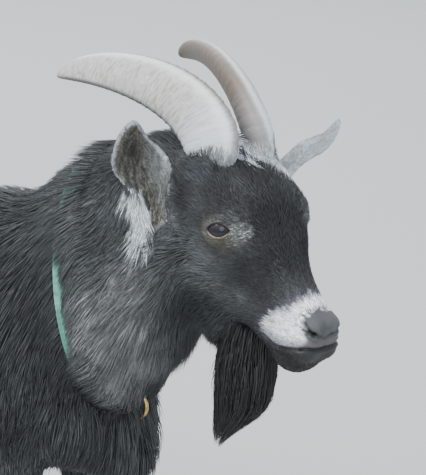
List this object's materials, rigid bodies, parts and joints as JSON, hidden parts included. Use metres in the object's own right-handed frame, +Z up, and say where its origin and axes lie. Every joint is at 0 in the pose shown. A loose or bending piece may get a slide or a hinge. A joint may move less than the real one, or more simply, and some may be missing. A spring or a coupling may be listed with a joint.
{
  "type": "goat",
  "caption": "Black dwarf goat standing with its head turned to its right, with swept-back horns, a beard and a thin collar with a ring.",
  "frame": {"origin": "middle of the goat's bounding box, on the floor", "axes": "+X the way the trunk faces, +Y its left, +Z up"},
  "size_m": [0.8338, 0.2538, 0.6168],
  "materials": {
    "coat_black": "black hair, short on the face and long on the neck",
    "horn": "grey horn, satin",
    "hoof": "dark horn, satin",
    "eye": "wet amber iris with a dark pupil that lies level",
    "collar_webbing": "woven green webbing",
    "brass": "worn, satin"
  },
  "bodies": {
    "root": {"head": "coat_black", "neck": "coat_black", "trunk": "coat_black", "tail": "coat_black", "beard": "coat_black", "ear_left": "coat_black", "ear_right": "coat_black", "leg_front_left": "coat_black", "leg_front_right": "coat_black", "leg_hind_left": "coat_black", "leg_hind_right": "coat_black", "horn_left": "horn", "horn_right": "horn", "eye_left": "eye", "eye_right": "eye", "hoof_front_left_outer": "hoof", "dewclaw_front_left_outer": "hoof", "hoof_front_left_inner": "hoof", "dewclaw_front_left_inner": "hoof", "hoof_front_right_outer": "hoof", "dewclaw_front_right_outer": "hoof", "hoof_front_right_inner": "hoof", "dewclaw_front_right_inner": "hoof", "hoof_hind_left_outer": "hoof", "dewclaw_hind_left_outer": "hoof", "hoof_hind_left_inner": "hoof", "dewclaw_hind_left_inner": "hoof", "hoof_hind_right_outer": "hoof", "dewclaw_hind_right_outer": "hoof", "hoof_hind_right_inner": "hoof", "dewclaw_hind_right_inner": "hoof", "collar": "collar_webbing", "collar_buckle": "brass", "collar_ring": "brass"}
  },
  "joints": []
}
